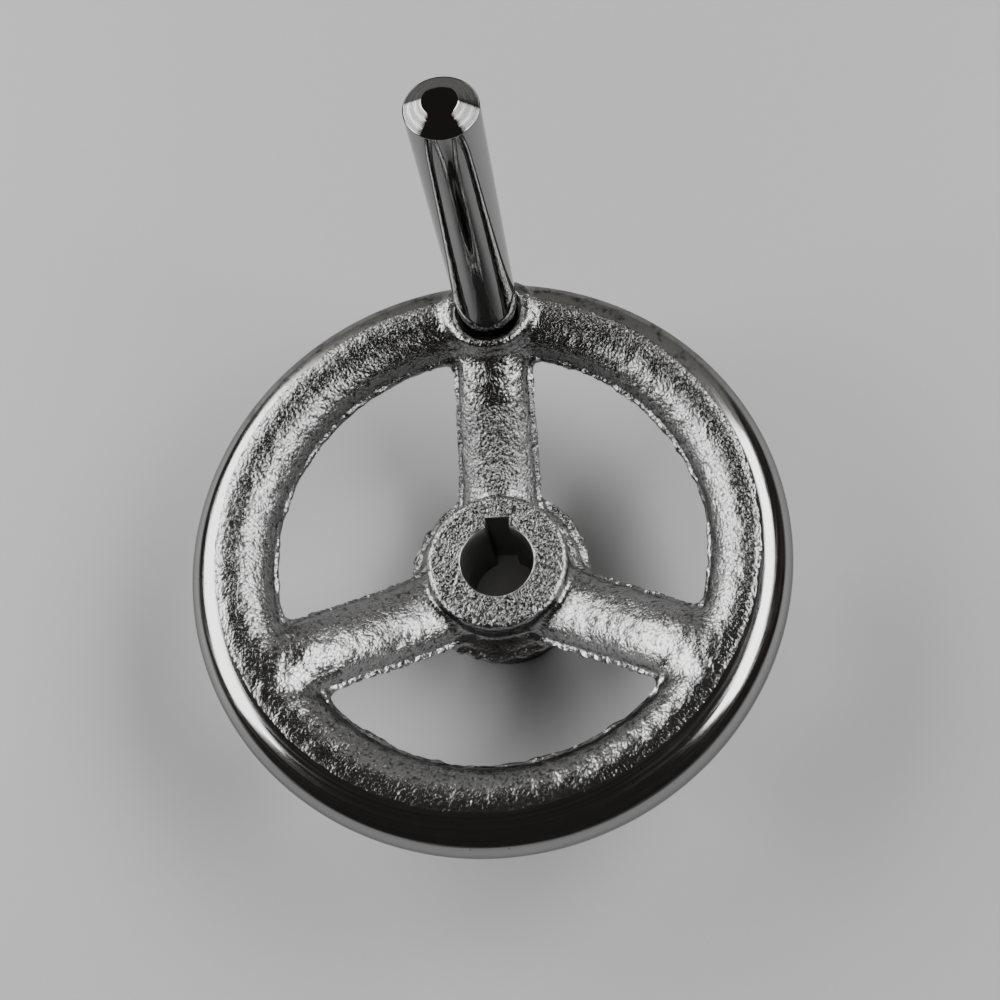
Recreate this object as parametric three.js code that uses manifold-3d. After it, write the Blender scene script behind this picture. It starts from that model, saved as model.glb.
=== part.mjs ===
// Three-spoke dished handwheel, cast in one piece, with a keyed bore and a revolving crank handle.
// Units are millimetres. +Z runs along the bore towards the handle, +Y points from the bore to the handle,
// and the origin is on the bore's axis in the plane of the rear hub face, the wheel's lowest face.
import * as THREE from 'three';
import { mergeVertices } from 'three/addons/utils/BufferGeometryUtils.js';
import Module from 'manifold-3d';

const wasm = await Module();
wasm.setup();

// ---- Driving sizes of the casting ----
const wheelDiameter = 95;
const rimWidth = 12.8;            // across the rim, along the wheel's radius
const rimThickness = 11;          // through the rim, along the wheel's axis
const hubLength = 19.2;           // from the rear hub face to the front hub face
const rimLift = 13;               // from the hub's parting line up to the rim's middle: the dish
const hubPartingHeight = 12.4;    // the spokes' middle where they leave the hub
const frontHubDiameter = 23;
const rearHubDiameter = 25.4;
const hubFlareDiameter = 28.4;    // the swelling at the parting line, where the spokes leave
const hubFlareSteps = [           // height from the parting line, as a share of the front hub's length,
  [-0.75, 0], [-0.35, 0.4], [-0.1, 1], [0, 1], [0.2, 0.35], [0.45, 0],   // and share of the swelling
];
const hubEdgeRound = 0.6;
const spokeCount = 3;
const spokeWidthAtHub = 12.8;
const spokeWidthAtRim = 11.6;
const spokeThickness = 8.8;
const spokeFlare = 2.6;           // how far a spoke spreads on each side where it meets hub and rim
const spokeFlareLength = 4.5;
const spokeFlareLift = 0.4;       // how much of that spread also thickens the spoke
const spokeCover = 0.2;           // least metal between a spoke's surface and the rim's
const spokeRootDepth = 2.5;       // how far inside the front hub the spokes start to rise
const spokeTipDepth = 2.3;        // how far inside the rim they stop rising
const spokeRootWall = 1;          // between the bore and the spokes' inner ends

// ---- Bore and keyway ----
const boreDiameter = 12;
const keyWidth = 4;
const keyDepth = 1.5;             // beyond the bore's wall

// ---- Handle: its place on the rim and the boss that carries it ----
const handleInset = 1.1;          // how far inside the rim's middle circle the handle stands
const bossWall = 1.8;             // around the recess for the handle's foot
const bossRise = 0.8;             // above the rim's crest
const bossRoot = 1;               // how far the boss starts below the rim's middle
const bossEdgeRound = 0.9;
const socketDepth = 3.2;          // recess in the boss that hides the handle's foot
const socketClearance = 0.5;      // radial, between the grip and the recess wall
const rearSeatDepth = 0.6;        // flat spot cut under the rim for the lock nut

// ---- Handle: grip, spindle and what holds them ----
const gripDiameter = 10;
const gripLength = 51.2;
const gripEndFlat = 4.9;          // diameter of the flat on the free end
const gripEndChamfer = 1.4;       // height of the cone around that flat
const gripFootChamfer = 0.3;
const gripEndWall = 4;            // solid metal at the closed end
const journalDiameter = 6;
const journalEndGap = 1;          // between the spindle's tip and the bottom of the grip's bore
const journalChamfer = 0.6;
const gripBoreChamfer = 0.5;
const flangeThickness = 1.2;
const studDiameter = 6;
const studChamfer = 0.5;
const studBelowNut = 1;
const thrustWasherThickness = 0.6;
const thrustWasherOverhang = 0.1; // radial, beyond the flange
const ringFromTip = 4;            // retaining ring's middle, down from the spindle's tip
const ringThickness = 0.8;
const ringRadialWidth = 0.9;
const ringGrooveDepth = 0.5;      // in the spindle
const ringGapAngle = 0.5;         // radians left open in the retaining ring
const slotWidth = 1.2;            // driver slot in the spindle's tip
const slotDepth = 1.4;
const nutAcrossFlats = 10;
const nutThickness = 3.2;
const nutCornerCut = 0.6;         // height of the turned corners, as a share of what stands past the flats
const lockWasherDiameter = 10.6;
const lockWasherThickness = 1.4;
const lockWasherSlit = 1.0;

// ---- Clearances ----
const seatGap = 0.05;             // between pieces that sit face to face
const threadGap = 0.15;           // radial, around the stud in the casting and in the nut
const runningGap = 0.1;           // radial, between the spindle and the grip's bore
const washerGap = 0.15;           // radial, between the journal and the thrust washer
const endFloat = 0.15;            // axial, between the thrust washer and the grip
const ringGap = 0.1;              // around the retaining ring in its two grooves
const flangeGap = 0.8;            // radial, between the flange and the recess wall
const nutSeatGap = 1;             // radial, around the lock washer in the flat under the rim
const overrun = 2;                // how far cutting tools run past the metal they cut

// ---- Places worked out from the sizes ----
const rimOuterRadius = wheelDiameter / 2;
const rimMiddleRadius = rimOuterRadius - rimWidth / 2;
const rimInnerRadius = rimOuterRadius - rimWidth;
const rimHeight = hubPartingHeight + rimLift;
const crestHeight = rimHeight + rimThickness / 2;
const crankRadius = rimMiddleRadius - handleInset;
const bossTop = crestHeight + bossRise;
const socketFloor = bossTop - socketDepth;
const socketRadius = gripDiameter / 2 + socketClearance;
const bossRadius = socketRadius + bossWall;
const flangeRadius = socketRadius - flangeGap;
const rearSeat = rimHeight - rimThickness / 2 + rearSeatDepth;
const rearSeatRadius = lockWasherDiameter / 2 + nutSeatGap;
const flangeFoot = socketFloor + seatGap;
const flangeTop = flangeFoot + flangeThickness;
const thrustWasherFoot = flangeTop + seatGap;
const gripFoot = thrustWasherFoot + thrustWasherThickness + endFloat;
const gripBoreDepth = gripLength - gripEndWall;
const journalRadius = journalDiameter / 2;
const journalTip = gripFoot + gripBoreDepth - journalEndGap;
const ringMiddle = journalTip - ringFromTip;
const lockWasherTop = rearSeat - seatGap;
const lockWasherFoot = lockWasherTop - lockWasherThickness;
const nutTop = lockWasherFoot - seatGap;
const nutFoot = nutTop - nutThickness;
const studTip = nutFoot - studBelowNut;
const studHoleRadius = studDiameter / 2 + threadGap;

// ---- Helpers ----

/** Turns a three.js geometry into a solid that can be joined and cut. */
function toSolid(geometry) {
  const bare = geometry.clone();
  bare.deleteAttribute('normal');
  bare.deleteAttribute('uv');
  const merged = mergeVertices(bare, 1e-4);
  return new wasm.Manifold(new wasm.Mesh({
    numProp: 3,
    vertProperties: new Float32Array(merged.attributes.position.array),
    triVerts: new Uint32Array(merged.index.array),
  }));
}

/** Turns a solid back into a three.js geometry. */
function toGeometry(solid) {
  const mesh = solid.getMesh();
  const geometry = new THREE.BufferGeometry();
  geometry.setAttribute('position', new THREE.BufferAttribute(new Float32Array(mesh.vertProperties), 3));
  geometry.setIndex(new THREE.BufferAttribute(new Uint32Array(mesh.triVerts), 1));
  geometry.computeVertexNormals();
  return geometry;
}

/** Revolves an outline of [radius, height] points about Z. It runs up the outside of the metal. */
function turned(outline, segments = 40) {
  const points = outline.map(([radius, height]) => new THREE.Vector2(radius, height));
  return new THREE.LatheGeometry(points, segments).rotateX(Math.PI / 2);
}

/** A plain turned cylinder from one height to another. */
function cylinder(radius, foot, top, segments = 40) {
  return turned([[0, foot], [radius, foot], [radius, top], [0, top]], segments);
}

/** Outline points of a quarter round from one edge of a corner to the other. */
function quarterRound(centreRadius, centreHeight, size, fromAngle, steps = 3) {
  const points = [];
  for (let i = 0; i <= steps; i += 1) {
    const angle = fromAngle + (Math.PI / 2) * (i / steps);
    points.push([centreRadius + size * Math.cos(angle), centreHeight + size * Math.sin(angle)]);
  }
  return points;
}

/** A flat plate of the given shape, its foot at the given height. */
function plate(shape, foot, thickness, curveSegments = 24) {
  const settings = { depth: thickness, bevelEnabled: false, curveSegments };
  return new THREE.ExtrudeGeometry(shape, settings).translate(0, 0, foot);
}

/** An open ring: a band between two radii with a stretch left out around +X. */
function openRing(innerRadius, outerRadius, halfGap) {
  const shape = new THREE.Shape();
  shape.absarc(0, 0, outerRadius, halfGap, 2 * Math.PI - halfGap, false);
  shape.absarc(0, 0, innerRadius, 2 * Math.PI - halfGap, halfGap, true);
  shape.closePath();
  return shape;
}

/** A plated or bare metal finish. */
function metal(colour, roughness) {
  return new THREE.MeshStandardMaterial({ color: colour, roughness, metalness: 1 });
}

/** Names a geometry and puts it in the model at a place. */
function addPiece(parent, name, geometry, material, x = 0, y = 0) {
  const mesh = new THREE.Mesh(geometry, material);
  mesh.name = name;
  mesh.position.set(x, y, 0);
  parent.add(mesh);
}

// ---- The casting ----

/** Height of a spoke's middle at a distance from the bore: an S that starts flat at the hub. */
function spokeHeight(radius) {
  const leaves = frontHubDiameter / 2 - spokeRootDepth;
  const arrives = rimInnerRadius + spokeTipDepth;
  return hubPartingHeight + rimLift * THREE.MathUtils.smoothstep(radius, leaves, arrives);
}

/** How much a spoke has spread at a distance from the bore, from 0 along its shank to 1 at its ends. */
function spokeSpread(radius) {
  const fromHub = radius - frontHubDiameter / 2;
  const fromRim = rimInnerRadius - radius;
  const nearest = Math.max(0, Math.min(fromHub, fromRim));
  return Math.max(0, 1 - nearest / spokeFlareLength) ** 2;
}

/** One spoke along +Y: an oval bar bent to the dish, starting in the hub and ending in the rim. */
function spokeGeometry() {
  const start = boreDiameter / 2 + spokeRootWall;
  const end = rimMiddleRadius;
  const geometry = new THREE.CylinderGeometry(1, 1, 1, 20, 15);
  const position = geometry.attributes.position;
  for (let i = 0; i < position.count; i += 1) {
    const along = position.getY(i) + 0.5;
    const radius = start + along * (end - start);
    const shank = (radius - frontHubDiameter / 2) / (rimInnerRadius - frontHubDiameter / 2);
    const taper = THREE.MathUtils.clamp(shank, 0, 1);
    const width = THREE.MathUtils.lerp(spokeWidthAtHub, spokeWidthAtRim, taper);
    const spread = spokeFlare * spokeSpread(radius);
    const x = position.getX(i) * (width / 2 + spread);
    const thick = Math.min(spokeThickness / 2 + spread * spokeFlareLift, rimThickness / 2 - spokeCover);
    position.setXYZ(i, -x, radius, spokeHeight(radius) - position.getZ(i) * thick);
  }
  return geometry;
}

/** The hub: front boss, swelling at the parting line and rear boss. */
function hubGeometry() {
  const front = frontHubDiameter / 2;
  const rear = rearHubDiameter / 2;
  const flare = hubFlareDiameter / 2;
  const swelling = hubFlareSteps.map(([up, share]) => [
    THREE.MathUtils.lerp(up < 0 ? rear : front, flare, share),
    hubPartingHeight + up * (hubLength - hubPartingHeight),
  ]);
  return turned([
    [0, 0],
    ...quarterRound(rear - hubEdgeRound, hubEdgeRound, hubEdgeRound, -Math.PI / 2),
    ...swelling,
    ...quarterRound(front - hubEdgeRound, hubLength - hubEdgeRound, hubEdgeRound, 0),
    [0, hubLength],
  ], 48);
}

/** The boss under the handle, kept inside the rim's outer curve so that the rim still runs true. */
function bossSolid() {
  const radius = bossRadius;
  const foot = rimHeight - bossRoot;
  const post = turned([
    [0, foot],
    [radius, foot],
    ...quarterRound(radius - bossEdgeRound, bossTop - bossEdgeRound, bossEdgeRound, 0),
    [0, bossTop],
  ], 40).translate(0, crankRadius, 0);
  const rise = bossTop - rimHeight;
  const outline = [[0, foot], [rimOuterRadius, foot]];
  for (let i = 0; i <= 10; i += 1) {
    const angle = (Math.PI / 2) * (i / 10);
    outline.push([rimMiddleRadius + (rimWidth / 2) * Math.cos(angle), rimHeight + rise * Math.sin(angle)]);
  }
  outline.push([0, bossTop]);
  return toSolid(post).intersect(toSolid(turned(outline, 84)));
}

/** The whole casting with its bore, keyway, handle recess, stud hole and nut seat cut. */
function castingGeometry() {
  const rim = new THREE.TorusGeometry(rimMiddleRadius, rimWidth / 2, 18, 84)
    .scale(1, 1, rimThickness / rimWidth)
    .translate(0, 0, rimHeight);
  let body = toSolid(rim).add(toSolid(hubGeometry())).add(bossSolid());
  for (let i = 0; i < spokeCount; i += 1) {
    body = body.add(toSolid(spokeGeometry().rotateZ((2 * Math.PI * i) / spokeCount)));
  }

  const bore = cylinder(boreDiameter / 2, -overrun, hubLength + overrun);
  const keyHeight = boreDiameter / 2 + keyDepth;
  const key = new THREE.BoxGeometry(keyWidth, keyHeight, hubLength + 2 * overrun)
    .translate(0, keyHeight / 2, hubLength / 2);
  const socket = cylinder(socketRadius, socketFloor, bossTop + overrun).translate(0, crankRadius, 0);
  const studHole = cylinder(studHoleRadius, studTip, bossTop).translate(0, crankRadius, 0);
  const nutSeat = cylinder(rearSeatRadius, rearSeat - rimThickness, rearSeat).translate(0, crankRadius, 0);
  for (const cut of [bore, key, socket, studHole, nutSeat]) {
    body = body.subtract(toSolid(cut));
  }
  return toGeometry(body);
}

// ---- The handle's pieces, each drawn about its own axis ----

/** The spindle: stud, flange and journal with a ring groove and a driver slot. */
function spindleGeometry() {
  const stud = studDiameter / 2;
  const grooveRadius = journalRadius - ringGrooveDepth;
  const grooveHalf = ringThickness / 2 + ringGap;
  const shaft = turned([
    [0, studTip],
    [stud - studChamfer, studTip],
    [stud, studTip + studChamfer],
    [stud, flangeFoot],
    [flangeRadius, flangeFoot],
    [flangeRadius, flangeTop],
    [journalRadius, flangeTop],
    [journalRadius, ringMiddle - grooveHalf],
    [grooveRadius, ringMiddle - grooveHalf],
    [grooveRadius, ringMiddle + grooveHalf],
    [journalRadius, ringMiddle + grooveHalf],
    [journalRadius, journalTip - journalChamfer],
    [journalRadius - journalChamfer, journalTip],
    [0, journalTip],
  ]);
  const slot = new THREE.BoxGeometry(journalDiameter + overrun, slotWidth, 2 * slotDepth)
    .translate(0, 0, journalTip);
  return toGeometry(toSolid(shaft).subtract(toSolid(slot)));
}

/** The thrust washer that the grip turns on. */
function thrustWasherGeometry() {
  const inner = journalRadius + washerGap;
  const outer = flangeRadius + thrustWasherOverhang;
  const top = thrustWasherFoot + thrustWasherThickness;
  return turned([
    [inner, thrustWasherFoot], [outer, thrustWasherFoot], [outer, top], [inner, top], [inner, thrustWasherFoot],
  ]);
}

/** The open ring that the grip snaps over. */
function retainingRingGeometry() {
  const inner = journalRadius - ringGrooveDepth + ringGap;
  const shape = openRing(inner, inner + ringRadialWidth, ringGapAngle / 2);
  return plate(shape, ringMiddle - ringThickness / 2, ringThickness);
}

/** The grip: a bright closed-end sleeve with a groove in its bore for the retaining ring. */
function gripGeometry() {
  const outer = gripDiameter / 2;
  const bore = journalRadius + runningGap;
  const ringOuter = journalRadius - ringGrooveDepth + ringGap + ringRadialWidth;
  const groove = ringOuter + 2 * ringGap;
  const grooveHalf = ringThickness / 2 + 2 * ringGap;
  const top = gripFoot + gripLength;
  const boreEnd = gripFoot + gripBoreDepth;
  return turned([
    [0, boreEnd],
    [bore, boreEnd],
    [bore, ringMiddle + grooveHalf],
    [groove, ringMiddle + grooveHalf],
    [groove, ringMiddle - grooveHalf],
    [bore, ringMiddle - grooveHalf],
    [bore, gripFoot + gripBoreChamfer],
    [bore + gripBoreChamfer, gripFoot],
    [outer - gripFootChamfer, gripFoot],
    [outer, gripFoot + gripFootChamfer],
    [outer, top - gripEndChamfer],
    [gripEndFlat / 2, top],
    [0, top],
  ], 48);
}

/** The split lock washer under the nut. */
function lockWasherGeometry() {
  const inner = studHoleRadius;
  const halfGap = Math.asin(lockWasherSlit / 2 / inner);
  return plate(openRing(inner, lockWasherDiameter / 2, halfGap), lockWasherFoot, lockWasherThickness);
}

/** The hexagon lock nut, its corners turned off at both faces. */
function lockNutGeometry() {
  const corner = nutAcrossFlats / Math.sqrt(3);
  const flat = nutAcrossFlats / 2;
  const cone = (corner - flat) * nutCornerCut;
  const past = corner + threadGap;
  const prism = new THREE.CylinderGeometry(corner, corner, nutThickness, 6)
    .rotateX(Math.PI / 2)
    .translate(0, 0, (nutFoot + nutTop) / 2);
  const blank = turned([
    [0, nutFoot], [flat, nutFoot], [past, nutFoot + cone],
    [past, nutTop - cone], [flat, nutTop], [0, nutTop],
  ]);
  const hole = cylinder(studHoleRadius, nutFoot - overrun, nutTop + overrun);
  return toGeometry(toSolid(prism).intersect(toSolid(blank)).subtract(toSolid(hole)));
}

// ---- The assembly ----
const handwheel = new THREE.Group();
const handle = new THREE.Group();
handle.position.set(0, crankRadius, 0);
handwheel.add(handle);

addPiece(handwheel, 'wheel_casting', castingGeometry(), metal(0xb4b4b6, 0.32));
addPiece(handle, 'handle_spindle', spindleGeometry(), metal(0x8f9092, 0.4));
addPiece(handle, 'thrust_washer', thrustWasherGeometry(), metal(0xa9a9a4, 0.4));
addPiece(handle, 'retaining_ring', retainingRingGeometry(), metal(0x6b6d72, 0.35));
addPiece(handle, 'handle_grip', gripGeometry(), metal(0xd8d9dc, 0.08));
addPiece(handle, 'lock_washer', lockWasherGeometry(), metal(0x8d8f92, 0.45));
addPiece(handle, 'lock_nut', lockNutGeometry(), metal(0x9fa1a4, 0.35));

export default handwheel;
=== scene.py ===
"""A chrome-plated, three-spoke cast handwheel with a revolving crank handle, on a pale table in soft light.

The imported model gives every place; this script gives the pieces their finished shapes and finishes.
Lengths are in metres.
"""

import logging
import math
from abc import ABC, abstractmethod
from collections.abc import Callable, Sequence
from dataclasses import dataclass, field
from enum import Enum
from functools import partial, reduce

import bpy
import numpy as np
from mathutils import Matrix, Vector, noise


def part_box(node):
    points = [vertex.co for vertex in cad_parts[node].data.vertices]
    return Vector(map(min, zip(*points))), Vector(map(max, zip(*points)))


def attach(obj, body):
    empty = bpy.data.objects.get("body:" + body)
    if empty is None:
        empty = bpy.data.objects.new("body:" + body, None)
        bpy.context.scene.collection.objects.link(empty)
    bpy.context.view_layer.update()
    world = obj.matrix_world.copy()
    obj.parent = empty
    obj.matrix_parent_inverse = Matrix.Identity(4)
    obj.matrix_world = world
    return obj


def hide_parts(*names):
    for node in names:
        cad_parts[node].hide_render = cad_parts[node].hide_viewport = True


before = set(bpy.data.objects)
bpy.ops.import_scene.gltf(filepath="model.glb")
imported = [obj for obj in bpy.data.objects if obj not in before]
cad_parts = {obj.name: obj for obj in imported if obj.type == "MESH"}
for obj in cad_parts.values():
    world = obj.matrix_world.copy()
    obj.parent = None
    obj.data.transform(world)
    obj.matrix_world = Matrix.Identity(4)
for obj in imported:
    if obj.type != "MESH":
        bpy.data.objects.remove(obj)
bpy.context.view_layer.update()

MM = 0.001
WHEEL_BODY = "wheel"
GRIP_BODY = "grip"

log = logging.getLogger("handwheel")

Array = np.ndarray
Colour = tuple[float, float, float]
Range = tuple[float, float]
Outline = Sequence[tuple[float, float]]
Field = Callable[[Array, Array, Array], Array]
Socket = bpy.types.NodeSocket
Sockets = dict[str, bpy.types.NodeSocket]
Node = bpy.types.Node
NodeTree = bpy.types.NodeTree
Inputs = dict[str | int, object]
Mesh = bpy.types.Mesh
Piece = bpy.types.Object


class Slot(Enum):
    """Names of material slots; no piece in this script uses them."""

    CASTING = "plated_casting"
    CHROME = "bright_chrome"
    TURNED = "turned_steel"
    ZINC = "zinc_fastener"


# ---- Node trees ----


class Tree:
    """A small helper that adds and links shader nodes from left to right."""

    columns = 12
    spacing = (180.0, -260.0)

    def __init__(self, nodes: NodeTree) -> None:
        """Wraps a node tree and empties it.

        Args:
            nodes: The tree.
        """
        self.tree = nodes
        self.tree.nodes.clear()
        self.count = 0

    def feed(self, node: Node, inputs: Inputs) -> None:
        """Sets or links a node's inputs.

        Args:
            node: The node.
            inputs: Values or output sockets, by the input's name or number. A colour is three numbers.
        """
        for key, value in inputs.items():
            socket = node.inputs[key]
            if isinstance(value, Socket):
                self.tree.links.new(value, socket)
            else:
                socket.default_value = (*value, 1.0) if socket.type == "RGBA" else value

    def add(self, kind: str, inputs: Inputs | None = None, **settings: object) -> Node:
        """Adds one node.

        Args:
            kind: The node's type, such as "ShaderNodeMath".
            inputs: What feed() gives it.
            settings: Properties of the node, such as operation="ADD".

        Returns:
            The new node.
        """
        node = self.tree.nodes.new(kind)
        self.count += 1
        row, column = divmod(self.count, self.columns)
        node.location = (self.spacing[0] * column, self.spacing[1] * row)
        for name, value in settings.items():
            setattr(node, name, value)
        self.feed(node, inputs or {})
        return node

    def math(self, operation: str, first: object, second: object = 0.0) -> Socket:
        """Adds one Math node and returns its result."""
        return self.add("ShaderNodeMath", {0: first, 1: second}, operation=operation).outputs[0]

    def total(self, *terms: object) -> Socket:
        """Adds numbers up."""
        return reduce(partial(self.math, "ADD"), terms)

    def product(self, *factors: object) -> Socket:
        """Multiplies numbers."""
        return reduce(partial(self.math, "MULTIPLY"), factors)

    def hypot(self, first: Socket, second: Socket) -> Socket:
        """The root of the sum of two squares."""
        return self.math("SQRT", self.total(self.product(first, first), self.product(second, second)))

    def ramp(self, value: object, low: object, high: object, to_low: float = 0.0,
             to_high: float = 1.0) -> Socket:
        """Adds a smooth Map Range node.

        Args:
            value: What to map.
            low: The value that gives to_low.
            high: The value that gives to_high. It may be the smaller one.
            to_low: The result at and beyond low.
            to_high: The result at and beyond high.

        Returns:
            The result.
        """
        inputs = {"Value": value, "From Min": low, "From Max": high, "To Min": to_low, "To Max": to_high}
        node = self.add("ShaderNodeMapRange", inputs, interpolation_type="SMOOTHSTEP", clamp=True)
        return node.outputs["Result"]

    def mix(self, factor: object, first: object, second: object) -> Socket:
        """Mixes two colours by a factor."""
        return self.add("ShaderNodeMix", {0: factor, 6: first, 7: second}, data_type="RGBA").outputs[2]

    def blend(self, factor: object, first: object, second: object) -> Socket:
        """Mixes two numbers by a factor."""
        return self.add("ShaderNodeMix", {0: factor, 2: first, 3: second}, data_type="FLOAT").outputs[0]

    def noise(self, place: Socket, scale: object, detail: float, roughness: float = 0.5) -> Socket:
        """Adds a Noise Texture and returns its value."""
        inputs = {"Vector": place, "Scale": scale, "Detail": detail, "Roughness": roughness}
        return self.add("ShaderNodeTexNoise", inputs).outputs[0]

    def parts(self, place: Socket) -> tuple[Socket, Socket, Socket]:
        """Takes a place apart into x, y and z."""
        return tuple(self.add("ShaderNodeSeparateXYZ", {0: place}).outputs)

    def length(self, place: Socket) -> Socket:
        """The distance of a place from the origin."""
        return self.add("ShaderNodeVectorMath", {0: place}, operation="LENGTH").outputs["Value"]

    def moved(self, place: Socket, by: Socket, scale: float) -> Socket:
        """Moves a place by a scaled vector."""
        shift = self.add("ShaderNodeVectorMath", {0: by, "Scale": scale}, operation="SCALE").outputs[0]
        return self.add("ShaderNodeVectorMath", {0: place, 1: shift}, operation="ADD").outputs[0]

    def bump(self, height: Socket) -> Socket:
        """Adds a Bump node for a height in metres and returns its normal."""
        return self.add("ShaderNodeBump", {"Height": height, "Strength": 1.0, "Distance": 1.0}).outputs[0]


Writer = Callable[[Tree, Sockets], Sockets]


def node_group(name: str, **inputs: float) -> Callable[[Writer], Callable[[], NodeTree]]:
    """Turns a function that writes nodes into one that builds their group once and returns it.

    Args:
        name: The group's name.
        inputs: Its number inputs and their usual values, with _ for a space in the name.

    Returns:
        The decorator, for a Writer: it takes the group's tree and its inputs by name, and returns its
        outputs by name.
    """

    def decorate(write: Writer) -> Callable[[], NodeTree]:
        """Gives the function that builds the group.

        Args:
            write: Adds the group's nodes.

        Returns:
            The function, which takes nothing.
        """

        def build() -> NodeTree:
            """Builds the group, or returns the one already built.

            Returns:
                The group.
            """
            known = bpy.data.node_groups.get(name)
            if known is not None:
                return known
            group = bpy.data.node_groups.new(name, "ShaderNodeTree")
            group.interface.new_socket("Position", in_out="INPUT", socket_type="NodeSocketVector")
            for label, usual in inputs.items():
                label = label.replace("_", " ")
                socket = group.interface.new_socket(label, in_out="INPUT", socket_type="NodeSocketFloat")
                socket.default_value = usual
            tree = Tree(group)
            entry = tree.add("NodeGroupInput")
            made = write(tree, {socket.name: socket for socket in entry.outputs if socket.name})
            for label in made:
                group.interface.new_socket(label, in_out="OUTPUT", socket_type="NodeSocketFloat")
            tree.add("NodeGroupOutput", made)
            return group

        return build

    return decorate


def use_group(tree: Tree, group: NodeTree, place: Socket, **values: object) -> Sockets:
    """Places a node group in a material.

    Args:
        tree: The material's tree.
        group: The group to place.
        place: The position that the group works from.
        values: Values or sockets for its inputs, with _ for a space in the name.

    Returns:
        The group's outputs by name.
    """
    node = tree.add("ShaderNodeGroup", node_tree=group)
    tree.feed(node, {"Position": place} | {name.replace("_", " "): value for name, value in values.items()})
    return {socket.name: socket for socket in node.outputs}


@node_group("cast_skin", Grain_Scale=2100.0, Lump_Scale=420.0)
def cast_skin(tree: Tree, given: Sockets) -> Sockets:
    """The sand-cast skin under the plate: round grains, pits between them and a slow unevenness.

    Args:
        tree: The group's tree.
        given: The group's inputs.

    Returns:
        The group's outputs.
    """
    grain_share, fine_share, lump_share, mean_height = 0.45, 0.75, 0.9, 1.05
    warp_reach = 0.0004
    place, scale = given["Position"], given["Grain Scale"]
    warp = tree.add("ShaderNodeTexNoise", {"Vector": place, "Scale": scale, "Detail": 2.0})
    bent = tree.moved(place, warp.outputs["Color"], warp_reach)
    grains = tree.add("ShaderNodeTexVoronoi", {"Vector": bent, "Scale": scale, "Smoothness": 0.6},
                      feature="SMOOTH_F1").outputs["Distance"]
    height = tree.total(tree.product(tree.math("SUBTRACT", 1.0, grains), grain_share),
                        tree.product(tree.noise(bent, scale, 4.0, 0.6), fine_share),
                        tree.product(tree.noise(place, given["Lump Scale"], 2.0), lump_share))
    # Pits marks the hollows between the grains, where the finish paints shade and raises roughness.
    return {"Height": tree.math("SUBTRACT", height, mean_height), "Pits": tree.ramp(grains, 0.5, 0.85)}


@node_group("handling_wear", Scratches=1.0, Nick_Scale=900.0)
def handling_wear(tree: Tree, given: Sockets) -> Sockets:
    """Fine scratches in two crossing directions, small nicks and cloudy handling marks.

    Args:
        tree: The group's tree.
        given: The group's inputs.

    Returns:
        The group's outputs.
    """
    line_width = 0.012
    lays = ((0.35, (9000.0, 260.0, 700.0)), (1.9, (420.0, 7600.0, 900.0)))
    place = given["Position"]
    marks: object = 0.0
    for turn, stretch in lays:
        lay = tree.add("ShaderNodeMapping", {"Vector": place, "Rotation": (0.2, 0.3, turn), "Scale": stretch})
        away = tree.math("ABSOLUTE", tree.math("SUBTRACT", tree.noise(lay.outputs[0], 1.0, 1.0), 0.5))
        marks = tree.math("MAXIMUM", marks, tree.ramp(away, line_width, 0.0))
    patches = tree.noise(place, 260.0, 3.0)
    scratches = tree.product(marks, tree.ramp(patches, 0.46, 0.62), given["Scratches"])
    spots = tree.add("ShaderNodeTexVoronoi", {"Vector": place, "Scale": given["Nick Scale"]})
    nicks = tree.product(tree.ramp(spots.outputs["Distance"], 0.16, 0.05), tree.ramp(patches, 0.54, 0.6))
    haze = tree.ramp(tree.noise(place, 60.0, 6.0, 0.65), 0.35, 0.7)
    return {"Scratches": scratches, "Nicks": nicks, "Haze": haze}


@node_group("ground_rim_band", Rim_Radius=0.041, Rim_Height=0.025, From_Angle=0.4, To_Angle=2.7, Lean_X=0.0,
            Lean_Y=0.0, Section_Radius=6.0)
def ground_rim_band(tree: Tree, given: Sockets) -> Sockets:
    """Millimetres inside the band that was ground on the outside of the rim, negative outside it.

    Args:
        tree: The group's tree.
        given: The group's inputs.

    Returns:
        The group's outputs.
    """
    x, y, z = tree.parts(given["Position"])
    out = tree.math("SUBTRACT", tree.hypot(x, y), given["Rim Radius"])
    angle = tree.math("ARCTAN2", out, tree.math("SUBTRACT", z, given["Rim Height"]))
    lean = tree.total(tree.product(x, given["Lean X"]), tree.product(y, given["Lean Y"]))
    from_start = tree.math("SUBTRACT", angle, tree.total(given["From Angle"], lean))
    inside = tree.math("MINIMUM", from_start, tree.math("SUBTRACT", given["To Angle"], angle))
    return {"Inside": tree.product(inside, given["Section Radius"])}


@node_group("belt_polish", Line_Scale=2600.0, Dull_Height=0.0265)
def belt_polish(tree: Tree, given: Sockets) -> Sockets:
    """The lines that a polishing belt leaves round the rim; painted shade, in mottled patches, on the lower
    part and the far side of the rim; and dark specks in the same place.

    Args:
        tree: The group's tree.
        given: The group's inputs.

    Returns:
        The group's outputs.
    """
    fade, drift = 0.0016, 60.0
    place, scale = given["Position"], given["Line Scale"]
    x, y, z = tree.parts(place)
    radius = tree.product(tree.hypot(x, y), scale)
    along = tree.add("ShaderNodeCombineXYZ", {0: radius, 1: tree.product(z, scale)})
    lines = tree.noise(tree.moved(along.outputs[0], place, drift), 1.0, 3.0, 0.6)
    cloud = tree.noise(place, 420.0, 7.0, 0.74)
    # Painted shade: darker below a height and towards the far side (larger y), broken into mottled patches;
    # the specks lie in the same place.
    low = tree.ramp(z, given["Dull Height"], tree.math("SUBTRACT", given["Dull Height"], fade))
    here = tree.math("MAXIMUM", low, tree.ramp(y, 0.012, 0.038))
    return {"Lines": lines, "Dull": tree.product(here, tree.ramp(cloud, 0.32, 0.6, 0.35, 1.0)),
            "Specks": tree.product(here, tree.ramp(cloud, 0.53, 0.62))}


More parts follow.
